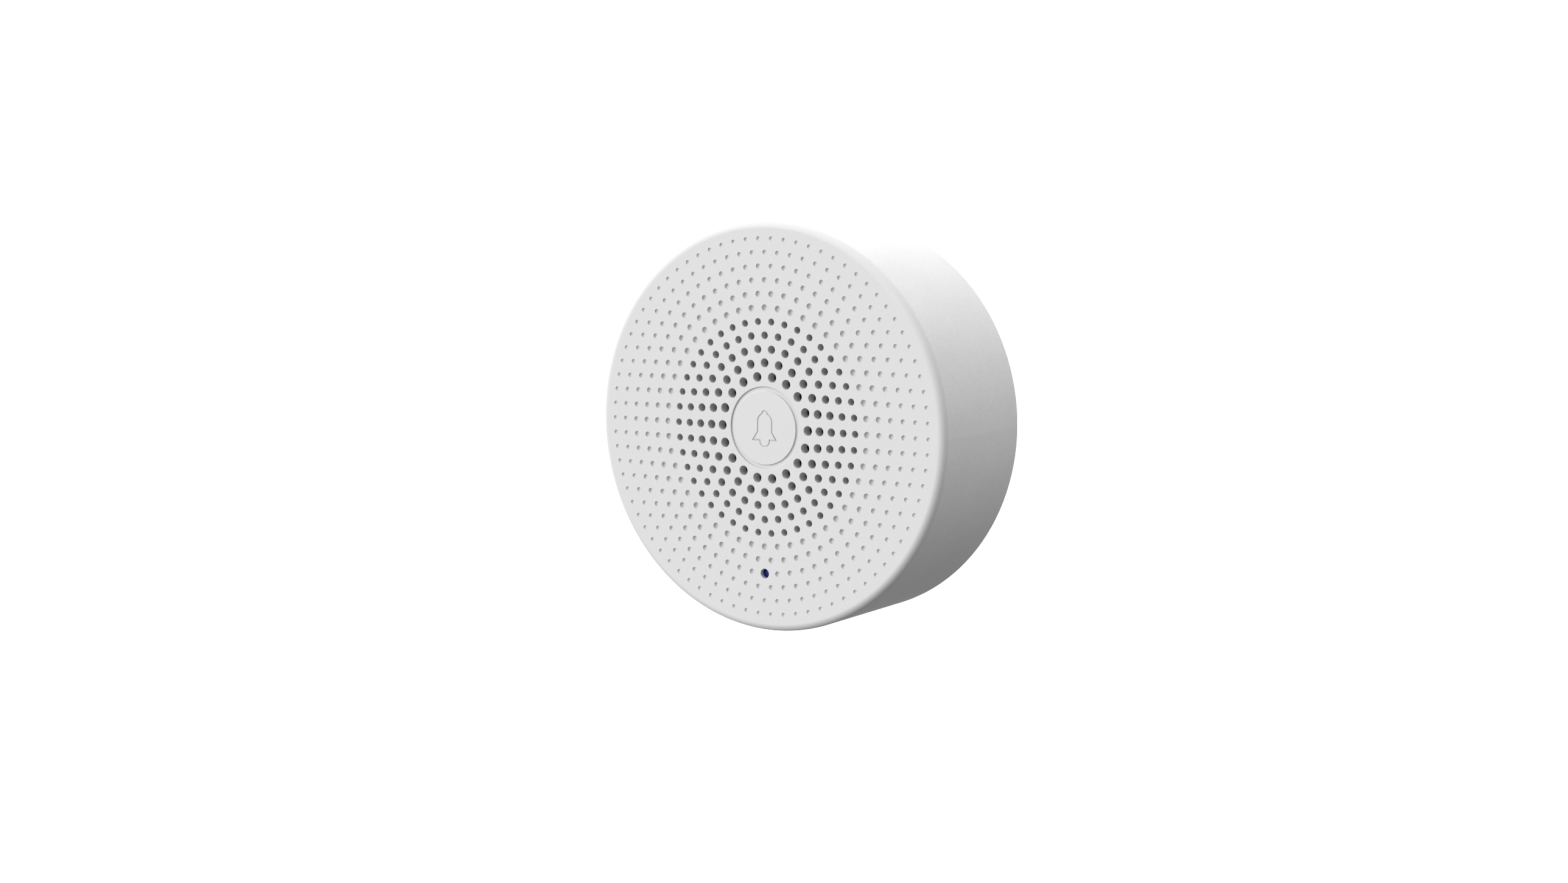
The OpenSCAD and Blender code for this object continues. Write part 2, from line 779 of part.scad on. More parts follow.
module tamper_plunger() {
    tip_z = tamper_tip_z + tamper_rod_r;
    color("orange") upright() translate([tamper_x, tamper_y, 0]) {
        intersection() {
            translate([0, 0, tip_z]) sphere(r = tamper_rod_r, $fn = 48);
            disc(3, 0, tip_z);
        }
        disc(tamper_rod_r, tip_z - e, tamper_flange_z + e);
        disc(2.2, tamper_flange_z, tamper_flange_z + 0.8);
        disc(0.9, tamper_flange_z + 0.8 - e, tamper_switch_z + 0.5);
    }
}

module tamper_spring() {
    bottom_z = tamper_flange_z + 0.8 + 0.2;
    color("silver") upright() translate([tamper_x, tamper_y, bottom_z])
        coil(1.5, 1.5, tamper_switch_z - bottom_z - 0.2, 3, 0.15);
}

module tamper_wires() {
    color("gold") upright()
        for (x = [-1.2, 1.2])
            wire([[tamper_x + x, tamper_y + 1, 13.35], [tamper_x + x, tamper_y + 2, 17],
                [tamper_x + x, tamper_y + 2, board_z - 0.4]], 0.35);
}

module board_screws() {
    color("silver") upright()
        for (a = board_boss_angles)
            at_clock(board_boss_r, a, board_z - 0.02) screw(1.8, 1.3, 0.88, 4.4);
}

module cover_screws() {
    color("silver") upright()
        for (a = cover_boss_angles)
            at_clock(cover_boss_r, a, cover_screw_seat_z - 0.02) screw(2.4, 1.8, 1.08, 15);
}

wall_bracket();
rear_housing();
front_cover();
cover_gasket();
acoustic_mesh();
bell_button();
button_guide();
tact_switch();
tact_plunger();
light_pipe();
status_led();
main_board();
microcontroller();
radio_shield();
crystal();
capacitors();
antenna();
speaker_socket();
speaker_plug();
speaker_wires();
speaker_frame();
speaker_yoke();
speaker_magnet();
speaker_pole_plate();
voice_coil();
speaker_cone();
speaker_surround();
speaker_dust_cap();
speaker_gasket();
speaker_retainer();
retainer_screws();
cell_a();
cell_b();
cell_c();
cell_springs();
cell_contacts();
red_wire();
black_wire();
tamper_switch();
tamper_plunger();
tamper_spring();
tamper_wires();
board_screws();
cover_screws();
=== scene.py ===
"""The looks of a round wall alarm siren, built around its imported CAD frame.

Outlines and faces are drawn in the face frame, in millimetres: x to the right, y up and z out of the wall.
to_row() turns that into the row frame, where the front faces -Y, in metres.
"""
from math import atan2, cos, degrees, hypot, pi, radians, sin, sqrt

import bpy
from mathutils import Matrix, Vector
from mathutils.geometry import delaunay_2d_cdt


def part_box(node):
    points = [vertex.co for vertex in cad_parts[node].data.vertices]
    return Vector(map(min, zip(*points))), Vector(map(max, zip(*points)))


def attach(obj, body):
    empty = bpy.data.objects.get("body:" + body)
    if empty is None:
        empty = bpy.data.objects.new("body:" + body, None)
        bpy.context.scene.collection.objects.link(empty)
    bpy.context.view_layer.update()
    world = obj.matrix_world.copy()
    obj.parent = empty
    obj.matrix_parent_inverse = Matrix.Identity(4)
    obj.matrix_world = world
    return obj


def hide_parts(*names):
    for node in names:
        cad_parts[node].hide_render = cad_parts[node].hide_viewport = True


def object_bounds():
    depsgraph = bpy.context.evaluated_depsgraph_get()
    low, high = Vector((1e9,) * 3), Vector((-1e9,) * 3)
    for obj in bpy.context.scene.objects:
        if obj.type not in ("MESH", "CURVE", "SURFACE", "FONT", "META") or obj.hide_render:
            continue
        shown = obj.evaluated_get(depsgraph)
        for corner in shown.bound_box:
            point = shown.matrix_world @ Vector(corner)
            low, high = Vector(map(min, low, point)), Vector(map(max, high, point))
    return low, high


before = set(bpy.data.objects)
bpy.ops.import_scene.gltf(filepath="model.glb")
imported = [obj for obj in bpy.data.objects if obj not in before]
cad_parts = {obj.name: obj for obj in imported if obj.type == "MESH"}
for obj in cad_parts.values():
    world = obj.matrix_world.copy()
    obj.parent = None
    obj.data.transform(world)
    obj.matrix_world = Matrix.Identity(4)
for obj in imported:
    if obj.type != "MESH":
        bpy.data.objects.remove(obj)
cad_low, cad_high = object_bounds()

MM = 0.001
# Points nearer than this are one point
TINY = 1e-6
# Gap that keeps pieces which meet from touching
PLAY = 0.02


def face_box(node):
    """A CAD node's lowest and highest corners in the face frame."""
    low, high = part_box(node)
    return (Vector((low.x, low.z, -high.y)) / MM, Vector((high.x, high.z, -low.y)) / MM)


def to_row(v):
    """A direction in the face frame, turned into the row frame."""
    return (v[0], -v[2], v[1])


# Sizes that come from the frame
cover_low, cover_high = face_box("front_cover")
button_low, button_high = face_box("bell_button")
pipe_low, pipe_high = face_box("light_pipe")
fabric_high = face_box("acoustic_mesh")[1]
housing_high = face_box("rear_housing")[1]
board_high = face_box("main_board")[1]
BODY_R = cover_high.x
FACE_Z = cover_high.z
FACE_BACK_Z = fabric_high.z + PLAY

# Front cover
RIM_R = 1.4
SEAM_GAP = 0.03
SEAM_Z = housing_high.z + SEAM_GAP
SPIGOT_R = BODY_R - 2.1
SPIGOT_T = 1.4
SPIGOT_Z = FACE_BACK_Z - 2
COVER_BOSSES = {"angles": (100, 220, 340), "distance": 33, "r": 2.8, "bore": 1.12, "end": cover_low.z}
BOARD_BOSSES = {"angles": (40, 160, 280), "distance": 28, "r": 2.3, "bore": 0.92, "end": board_high.z}
BORE_DEPTH = 0.4

# Grille
RING_PITCH = BODY_R / 15
FIRST_RING_R = 3.75 * RING_PITCH
FIRST_RING_HOLES = 18
MORE_PER_RING = 6
SOUND_RINGS = 5
ALL_RINGS = 11
# Diameters in the first and the last ring of each kind, and a dimple's depth as a share of its own
SOUND_D = (1.89, 1.36)
DIMPLE_D = (1.3, 0.82)
DIMPLE_DEPTH = (0.5, 0.42)
HOLE_EDGE = 0.05
LED_RING = 8
LED_D = 1.93
LENS_RECESS = 0.72

# Button
BUTTON_R = 7.2
GROOVE_W = 0.84
GROOVE_DEPTH = 0.34
FLANGE_R = button_high.x
FLANGE_T = 1.32
LIP_PLAY = 0.08
POCKET_R = FLANGE_R + 0.3
STEM_R = 1.5
STEM_LENGTH = 0.62
LEG_X = 6.6
LEG_SIZE = (1.0, 2.4)
BELL_LINE = 0.26
BELL_DEPTH = 0.22


class Shell:
    """A closed surface of welded loops of points, with its own normal at each corner of each face."""

    def __init__(self):
        self.points = []
        self.faces = []
        self.normals = []

    def loop(self, points):
        """Adds points and returns their places in the list."""
        first = len(self.points)
        self.points.extend(points)
        return list(range(first, len(self.points)))

    def face(self, corners, normals):
        self.faces.append(corners)
        self.normals.extend(normals)

    def band(self, a, b, a_normals, b_normals):
        """The faces between closed loops a and b. A loop of one point makes a fan."""
        steps = max(len(a), len(b))
        for i in range(steps):
            j = (i + 1) % steps
            if len(a) == 1:
                self.face((a[0], b[i], b[j]), (a_normals[0], b_normals[i], b_normals[j]))
            elif len(b) == 1:
                self.face((a[i], b[0], a[j]), (a_normals[i], b_normals[0], a_normals[j]))
            else:
                self.face((a[i], b[i], b[j], a[j]), (a_normals[i], b_normals[i], b_normals[j], a_normals[j]))

    def spin(self, outline, steps, centre=(0, 0)):
        """Turns an outline about an upright axis. Returns its first and its last loop."""
        turns = [(cos(2 * pi * i / steps), sin(2 * pi * i / steps)) for i in range(steps)]
        loops = []
        spot = normals = None
        for r, z, normal_r, normal_z in outline:
            new_normals = [(normal_r * c, normal_r * s, normal_z) for c, s in turns]
            if spot is None or hypot(r - spot[0], z - spot[1]) > TINY:
                around = turns if r > TINY else [(0, 0)]
                loops.append(self.loop([(centre[0] + r * c, centre[1] + r * s, z) for c, s in around]))
                if spot is not None:
                    self.band(loops[-2], loops[-1], normals, new_normals)
            spot, normals = (r, z), new_normals
        return loops[0], loops[-1]

    def sheet(self, loops, side):
        """Fills the flat area inside an odd number of the loops, facing up for side 1 and down for -1."""
        places = [i for loop in loops for i in loop]
        flat = [Vector(self.points[i][:2]) for i in places]
        outlines = []
        for loop in loops:
            start = sum(map(len, outlines))
            outlines.append(list(range(start, start + len(loop))))
        _, _, triangles, origins, _, inside = delaunay_2d_cdt(flat, [], outlines, 1, TINY)
        for triangle, within in zip(triangles, inside):
            if len(set(within)) % 2:
                corners = [places[origins[v][0]] for v in triangle][::side]
                self.face(corners, [(0, 0, side)] * 3)

    def prism(self, corners, top, bottom):
        """An upright post that hangs from the top height. Returns its top loop."""
        upper = self.loop([(x, y, top) for x, y in corners])
        lower = self.loop([(x, y, bottom) for x, y in corners])
        for i in range(len(corners)):
            j = (i + 1) % len(corners)
            across = Vector(corners[j]) - Vector(corners[i])
            normal = (across.y / across.length, -across.x / across.length, 0)
            self.face((upper[i], lower[i], lower[j], upper[j]), [normal] * 4)
        self.face(lower[::-1], [(0, 0, -1)] * len(lower))
        return upper

    def piece(self, name, body, node, slot):
        """Makes the mesh, which rides on a body and stands for a CAD node."""
        mesh = bpy.data.meshes.new(name)
        mesh.from_pydata([Vector(to_row(p)) * MM for p in self.points], [], self.faces)
        mesh.shade_smooth()
        mesh.normals_split_custom_set([to_row(n) for n in self.normals])
        made = bpy.data.objects.new(name, mesh)
        bpy.context.collection.objects.link(made)
        made.data.materials.append(LOOKS[slot])
        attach(made, body)
        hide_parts(node)


def line(start, end):
    """A straight stretch of outline as radius, height and the normal on its left."""
    length = hypot(end[0] - start[0], end[1] - start[1])
    normal = ((start[1] - end[1]) / length, (end[0] - start[0]) / length)
    return [(*start, *normal), (*end, *normal)]


def lines(*corners):
    """Straight stretches through the corners, with a sharp edge at each."""
    return [p for start, end in zip(corners, corners[1:]) for p in line(start, end)]


def bend(centre, r, angles, hollow=False):
    """Outline points at angles in degrees round a centre. The normals of a hollow bend point to it."""
    side = -1 if hollow else 1
    turns = [(cos(radians(a)), sin(radians(a))) for a in angles]
    return [(centre[0] + r * c, centre[1] + r * s, side * c, side * s) for c, s in turns]


def arc(centre, r, start, end, steps, hollow=False):
    """A bend from one angle to another in equal steps."""
    return bend(centre, r, [start + (end - start) * i / steps for i in range(steps + 1)], hollow)


def mix(a, b, t):
    """The number at share t of the way from a to b."""
    return a + (b - a) * t


# Front cover

def ring_spots(ring):
    """The places of one ring's holes, counted from the top, without the indicator's."""
    count = FIRST_RING_HOLES + MORE_PER_RING * (ring - 1)
    r = FIRST_RING_R + (ring - 1) * RING_PITCH
    spots = []
    for i in range(count):
        if ring == LED_RING and 2 * i == count:
            continue
        angle = radians(90 + (i + (ring % 2) / 2) * 360 / count)
        spots.append((r * cos(angle), r * sin(angle)))
    return spots


def hole_outline(r):
    """From the back of the face, up the wall of a hole and over its rounded edge."""
    return (lines((r, FACE_BACK_Z), (r, FACE_Z - HOLE_EDGE))
            + arc((r + HOLE_EDGE, FACE_Z - HOLE_EDGE), HOLE_EDGE, 180, 90, 2))


def dimple_outline(r, depth):
    """From the middle of a dimple's floor, round its foot, up its wall and over its rounded edge."""
    edge = 0.03
    foot_r = 0.8 * r
    floor_z = FACE_Z - depth
    return ([(0, floor_z, 0, 1)] + arc((r - foot_r, floor_z + foot_r), foot_r, 270, 360, 5, hollow=True)
            + arc((r + edge, FACE_Z - edge), edge, 180, 90, 2))


def boss_outline(boss):
    """From the back of the face down a screw boss and up its blind bore."""
    return lines((boss["r"], FACE_BACK_Z), (boss["r"], boss["end"]), (boss["bore"], boss["end"]),
                 (boss["bore"], FACE_BACK_Z + BORE_DEPTH), (0, FACE_BACK_Z + BORE_DEPTH))


def front_cover():
    """The front plate with its rim, spigot, bosses, sound holes, dimples and button opening."""
    edge = 0.02
    soft = 0.1
    opening_r = BUTTON_R + GROOVE_W
    lip_z = FACE_Z - GROOVE_DEPTH + LIP_PLAY
    shell = Shell()
    rim = (arc((BODY_R - RIM_R, FACE_Z - RIM_R), RIM_R, 90, 0, 16)
           + lines((BODY_R, FACE_Z - RIM_R), (BODY_R, SEAM_Z + edge), (BODY_R - edge, SEAM_Z),
                   (SPIGOT_R, SEAM_Z), (SPIGOT_R, SPIGOT_Z), (SPIGOT_R - SPIGOT_T, SPIGOT_Z),
                   (SPIGOT_R - SPIGOT_T, FACE_BACK_Z)))
    opening = (lines((POCKET_R, FACE_BACK_Z), (POCKET_R, lip_z), (opening_r, lip_z),
                     (opening_r, FACE_Z - soft))
               + arc((opening_r + soft, FACE_Z - soft), soft, 180, 90, 5))
    face_loop, spigot_loop = shell.spin(rim, 240)
    pocket_loop, opening_loop = shell.spin(opening, 144)
    front, back = [face_loop, opening_loop], [spigot_loop, pocket_loop]
    for ring in range(1, ALL_RINGS + 1):
        for spot in ring_spots(ring):
            if ring <= SOUND_RINGS:
                r = mix(*SOUND_D, (ring - 1) / (SOUND_RINGS - 1)) / 2
                foot, mouth = shell.spin(hole_outline(r), 24, spot)
                back.append(foot)
            else:
                part = (ring - SOUND_RINGS - 1) / (ALL_RINGS - SOUND_RINGS - 1)
                r = mix(*DIMPLE_D, part) / 2
                _, mouth = shell.spin(dimple_outline(r, 2 * r * mix(*DIMPLE_DEPTH, part)), 20, spot)
            front.append(mouth)
    led_y = -(FIRST_RING_R + (LED_RING - 1) * RING_PITCH)
    foot, mouth = shell.spin(hole_outline(LED_D / 2), 36, (0, led_y))
    front.append(mouth)
    back.append(foot)
    for boss in (COVER_BOSSES, BOARD_BOSSES):
        for angle in boss["angles"]:
            spot = (boss["distance"] * cos(radians(angle)), boss["distance"] * sin(radians(angle)))
            back.append(shell.spin(boss_outline(boss), 48, spot)[0])
    shell.sheet(front, 1)
    shell.sheet(back, -1)
    shell.piece("front_cover_moulding", "siren", "front_cover", "cover_plastic")


# Button

def bell_path():
    """The centre line of the engraved bell, clockwise from the top of its knob."""
    knob_y, knob_r = 2.71, 0.62
    dome_y, dome_r = 1.2, 1.65
    clapper_r, clapper_y = 1.12, -2.52
    foot = (2.75, -2.37)
    rise = knob_y - dome_y
    meet_y = (dome_r ** 2 - knob_r ** 2 + rise ** 2) / (2 * rise)
    meet_x = sqrt(dome_r ** 2 - meet_y ** 2)
    half = arc((0, knob_y), knob_r, 90, degrees(atan2(meet_y - rise, meet_x)), 8)
    half += arc((0, dome_y), dome_r, degrees(atan2(meet_y, meet_x)), 0, 12)[1:]
    half += [(dome_r, -0.8), foot, (clapper_r, foot[1])]
    half += arc((0, clapper_y), clapper_r, 0, -90, 14)
    half = [p[:2] for p in half]
    return half + [(-x, y) for x, y in half[-2:0:-1]]


def mitres(path):
    """For each point of a closed path, the step to its left that keeps an offset path parallel."""
    found = []
    for i, here in enumerate(path):
        before, after = path[i - 1], path[(i + 1) % len(path)]
        entry = (Vector(here) - Vector(before)).normalized()
        leave = (Vector(after) - Vector(here)).normalized()
        leftward = Vector((-entry.y - leave.y, entry.x + leave.x))
        found.append(leftward / (1 + entry.dot(leave)))
    return found


def engrave(shell, path):
    """Cuts a soft-edged channel along the path. Returns its outer and inner loops on the face."""
    edge = 0.03
    floor_r = 0.06
    half = BELL_LINE / 2
    draft = 12
    narrowing = 0.04
    foot = (half - floor_r - narrowing, FACE_Z - BELL_DEPTH + floor_r)
    side = (bend((half + edge, FACE_Z - edge), edge, (90, 120, 150, 180 - draft))
            + bend(foot, floor_r, (-draft, -45, -90), hollow=True))
    section = side + [(0, FACE_Z - BELL_DEPTH, 0, 1)] + [(-d, z, -nd, nz) for d, z, nd, nz in side[::-1]]
    steps = mitres(path)
    loops, last_normals = [], None
    for d, z, nd, nz in section:
        loops.append(shell.loop([(x + m.x * d, y + m.y * d, z) for (x, y), m in zip(path, steps)]))
        normals = [(nd * m.x / m.length, nd * m.y / m.length, nz) for m in steps]
        if last_normals:
            shell.band(loops[-2], loops[-1], last_normals, normals)
        last_normals = normals
    return loops[0], loops[-1]


def bell_button():
    """The round button with its engraved bell, the flange that floors the groove, its stem and its legs."""
    edge = 0.08
    fillet = 0.16
    chamfer = 0.08
    floor_z = FACE_Z - GROOVE_DEPTH
    flange_z = floor_z - FLANGE_T
    shell = Shell()
    cap = (arc((BUTTON_R - edge, FACE_Z - edge), edge, 90, 0, 5)
           + arc((BUTTON_R + fillet, floor_z + fillet), fillet, 180, 270, 8, hollow=True)
           + lines((BUTTON_R + fillet, floor_z), (FLANGE_R - chamfer, floor_z),
                   (FLANGE_R, floor_z - chamfer), (FLANGE_R, flange_z)))
    stem = lines((STEM_R, flange_z), (STEM_R, flange_z - STEM_LENGTH), (0, flange_z - STEM_LENGTH))
    face_loop, flange_loop = shell.spin(cap, 144)
    stem_loop, _ = shell.spin(stem, 48)
    x, y = LEG_SIZE[0] / 2, LEG_SIZE[1] / 2
    legs = [shell.prism([(s * LEG_X - x, -y), (s * LEG_X + x, -y), (s * LEG_X + x, y), (s * LEG_X - x, y)],
                        flange_z, button_low.z) for s in (-1, 1)]
    shell.sheet([face_loop, *engrave(shell, bell_path())], 1)
    shell.sheet([flange_loop, stem_loop, *legs], -1)
    shell.piece("bell_button_moulding", "button", "bell_button", "button_plastic")


# Light pipe

def light_pipe():
    """The domed lens in the indicator hole, its flange and the rod down to the lamp."""
    flange_r = pipe_high.x
    flange_z = FACE_BACK_Z - PLAY
    flange_t = 0.98
    tip_z = FACE_Z - LENS_RECESS
    tip_r = LED_D / 2 - 0.05
    dome = 0.2
    ball_r = (tip_r ** 2 + dome ** 2) / (2 * dome)
    reach = degrees(atan2(tip_r, ball_r - dome))
    rod_r = 1.1
    middle = (0, (pipe_low.y + pipe_high.y) / 2)
    outline = (arc((0, tip_z - ball_r), ball_r, 90, 90 - reach, 6)
               + lines((tip_r, tip_z - dome), (tip_r, flange_z), (flange_r, flange_z),
                       (flange_r, flange_z - flange_t), (rod_r, flange_z - flange_t),
                       (rod_r, pipe_low.z), (0, pipe_low.z)))
    shell = Shell()
    shell.spin(outline, 40, middle)
    shell.piece("light_pipe_moulding", "siren", "light_pipe", "lens_blue")


# Materials

def feed(tree, socket, value):
    """Links a node's output to a socket, or sets a constant there."""
    if isinstance(value, bpy.types.NodeSocket):
        tree.links.new(value, socket)
    else:
        socket.default_value = value


class Look:
    """A procedural material. Its helpers add nodes, with sizes in millimetres."""

    def __init__(self, name, **values):
        self.material = bpy.data.materials.new(name)
        self.material.use_nodes = True
        self.tree = self.material.node_tree
        self.shader = self.tree.nodes["Principled BSDF"]
        self.place = self.node("ShaderNodeTexCoord").outputs["Object"]
        for key, value in values.items():
            self.shader.inputs[key.replace("_", " ")].default_value = value

    def node(self, kind, inputs=(), **settings):
        made = self.tree.nodes.new(kind)
        for key, value in settings.items():
            setattr(made, key, value)
        for key, value in dict(inputs).items():
            feed(self.tree, made.inputs[key], value)
        return made

    def stretched(self, x, y, z):
        """The place, scaled along each axis."""
        return self.node("ShaderNodeMapping", {"Vector": self.place, "Scale": (x, y, z)}).outputs[0]

    def noise(self, size, detail=2.0, place=None):
        """Soft blotches of about the size given, from 0 to 1."""
        inputs = {"Vector": place or self.place, "Scale": 1 / (size * MM), "Detail": detail}
        return self.node("ShaderNodeTexNoise", inputs).outputs["Fac"]

    def cells(self, size):
        """How far the nearest middle of a cell is, for cells of about the size given."""
        inputs = {"Vector": self.place, "Scale": 1 / (size * MM)}
        return self.node("ShaderNodeTexVoronoi", inputs).outputs["Distance"]

    def waves(self, pitch, axis, distortion=0.0):
        """Bands a pitch apart, across the X, Y or Z axis or across the DIAGONAL."""
        turn_per_unit = 2 * pi / 20
        inputs = {"Vector": self.place, "Scale": turn_per_unit / (pitch * MM), "Distortion": distortion}
        return self.node("ShaderNodeTexWave", inputs, bands_direction=axis).outputs["Fac"]

    def maths(self, operation, a, b):
        return self.node("ShaderNodeMath", {0: a, 1: b}, operation=operation).outputs[0]

    def between(self, value, low, high, start=0.25, end=0.75):
        """The value from start to end, spread from low to high."""
        inputs = {"Value": value, "From Min": start, "From Max": end, "To Min": low, "To Max": high}
        return self.node("ShaderNodeMapRange", inputs).outputs[0]

    def blend(self, factor, first, second):
        """A colour between two colours."""
        inputs = {0: factor, 6: first, 7: second}
        return self.node("ShaderNodeMix", inputs, data_type="RGBA").outputs[2]

    def set(self, **sources):
        """Links node outputs to the shader's inputs."""
        for key, source in sources.items():
            self.tree.links.new(source, self.shader.inputs[key.replace("_", " ")])

    def bump(self, height, depth):
        """Raises the surface by the depth where the height is 1."""
        inputs = {"Height": height, "Distance": depth * MM, "Strength": 1.0}
        self.set(Normal=self.node("ShaderNodeBump", inputs).outputs[0])


def shade(colour, factor):
    """The colour made lighter or darker, with its alpha."""
    return (*[min(1.0, c * factor) for c in colour[:3]], 1.0)


def moulded(name, colour, roughness, grain=0.22, depth=0.004, variation=0.02, **values):
    """Moulded plastic with a fine spark-eroded grain."""
    look = Look(name, **values)
    broad = look.noise(9, 3)
    fine = look.noise(grain, 3)
    both = look.maths("ADD", look.maths("MULTIPLY", broad, 0.15), look.maths("MULTIPLY", fine, 0.85))
    tone = look.between(both, 0, 1, 0.3, 0.7)
    look.set(Base_Color=look.blend(tone, shade(colour, 1 - variation), shade(colour, 1 + variation)))
    look.set(Roughness=look.between(fine, roughness - 0.05, roughness + 0.05))
    look.bump(fine, depth)
    return look.material


def rubber(name, colour, roughness=0.75):
    """Dull elastomer with a slightly bloomed surface."""
    look = Look(name)
    bloom = look.noise(2.5, 5)
    look.set(Base_Color=look.blend(look.between(bloom, 0, 1), shade(colour, 0.8), shade(colour, 1.35)))
    look.set(Roughness=look.between(bloom, roughness - 0.1, roughness + 0.12))
    look.bump(look.noise(0.15, 4), 0.01)
    return look.material


def woven(name, colour, pitch):
    """A plain weave in the plane of the face. Its colour is painted darker in the gaps between the threads
    and lighter on their crossings, as painted shade and painted highlight.
    """
    look = Look(name, Roughness=0.85, Sheen_Weight=0.1)
    weave = look.maths("MULTIPLY", look.waves(pitch, "X"), look.waves(pitch, "Z"))
    # Painted shade in the gaps between threads and painted highlight on their crossings, following the
    # weave's height
    look.set(Base_Color=look.blend(weave, shade(colour, 0.4), shade(colour, 1.6)))
    look.bump(weave, 0.05)
    return look.material


def metal(name, colour, roughness, streak=(1, 1, 1), blotch=1.5):
    """Plated or rolled metal. Its streaks run along the axis with the smallest streak value."""
    look = Look(name, Metallic=1.0)
    streaks = look.noise(0.12, 3, look.stretched(*streak))
    cloud = look.noise(blotch, 4)
    look.set(Base_Color=look.blend(look.between(cloud, 0, 1), shade(colour, 0.82), shade(colour, 1.06)))
    look.set(Roughness=look.between(streaks, roughness - 0.08, roughness + 0.14))
    look.bump(streaks, 0.002)
    return look.material


def laminate(name):
    """Green solder mask over copper tracks, with tinned vias."""
    look = Look(name)
    tracks = look.between(look.waves(1.4, "DIAGONAL", 2.5), 0, 1, 0.62, 0.68)
    mask = look.blend(tracks, (0.008, 0.075, 0.03, 1), (0.02, 0.16, 0.055, 1))
    vias = look.between(look.cells(2.6), 1, 0, 0.1, 0.13)
    look.set(Base_Color=look.blend(vias, mask, (0.62, 0.6, 0.52, 1)))
    look.set(Metallic=vias)
    look.set(Roughness=look.between(look.noise(1.2, 4), 0.28, 0.42))
    look.bump(tracks, 0.03)
    return look.material


def sleeve(name):
    """The printed shrink sleeve of a cell: dark blue with a copper band, and slight wrinkles."""
    look = Look(name, Coat_Weight=0.4, Coat_Roughness=0.15)
    along = look.node("ShaderNodeSeparateXYZ", {0: look.place}).outputs[0]
    band = look.between(along, 0, 1, 0.0118, 0.012)
    colour = look.blend(band, (0.012, 0.035, 0.16, 1), (0.55, 0.25, 0.1, 1))
    wrinkles = look.noise(1.6, 5)
    look.set(Base_Color=look.blend(look.between(wrinkles, 0, 0.25), colour, (0.02, 0.02, 0.03, 1)))
    look.set(Roughness=look.between(wrinkles, 0.25, 0.42))
    look.bump(wrinkles, 0.02)
    return look.material


def lens(name):
    """Deep blue clear resin over a dark lamp."""
    look = Look(name, IOR=1.4, Specular_IOR_Level=0.2)
    swirl = look.between(look.noise(0.5, 2), 0, 1)
    look.set(Base_Color=look.blend(swirl, (0.004, 0.005, 0.09, 1), (0.008, 0.01, 0.15, 1)))
    look.set(Roughness=look.between(look.noise(0.2, 3), 0.1, 0.18))
    return look.material


def wound(name, colour, pitch):
    """Enamelled wire wound side by side round the row's Y axis. The grooves between turns are painted
    darker, as painted shade.
    """
    look = Look(name, Metallic=0.85, Coat_Weight=0.3)
    turns = look.waves(pitch, "Y")
    # Painted shade: the colour darkens in the grooves between turns and is a little lighter on their crests
    look.set(Base_Color=look.blend(turns, shade(colour, 0.55), shade(colour, 1.1)))
    look.set(Roughness=look.between(look.noise(0.4, 3), 0.25, 0.4))
    look.bump(turns, 0.03)
    return look.material


def fibrous(name, colour, size, roughness=0.8):
    """Pressed fibre or open foam."""
    look = Look(name)
    fibres = look.noise(size, 6)
    look.set(Base_Color=look.blend(look.between(fibres, 0, 1), shade(colour, 0.7), shade(colour, 1.3)))
    look.set(Roughness=look.between(fibres, roughness - 0.08, roughness + 0.1))
    look.bump(fibres, 0.03)
    return look.material


WHITE = (0.6, 0.6, 0.6)
STEEL = (0.62, 0.62, 0.63)

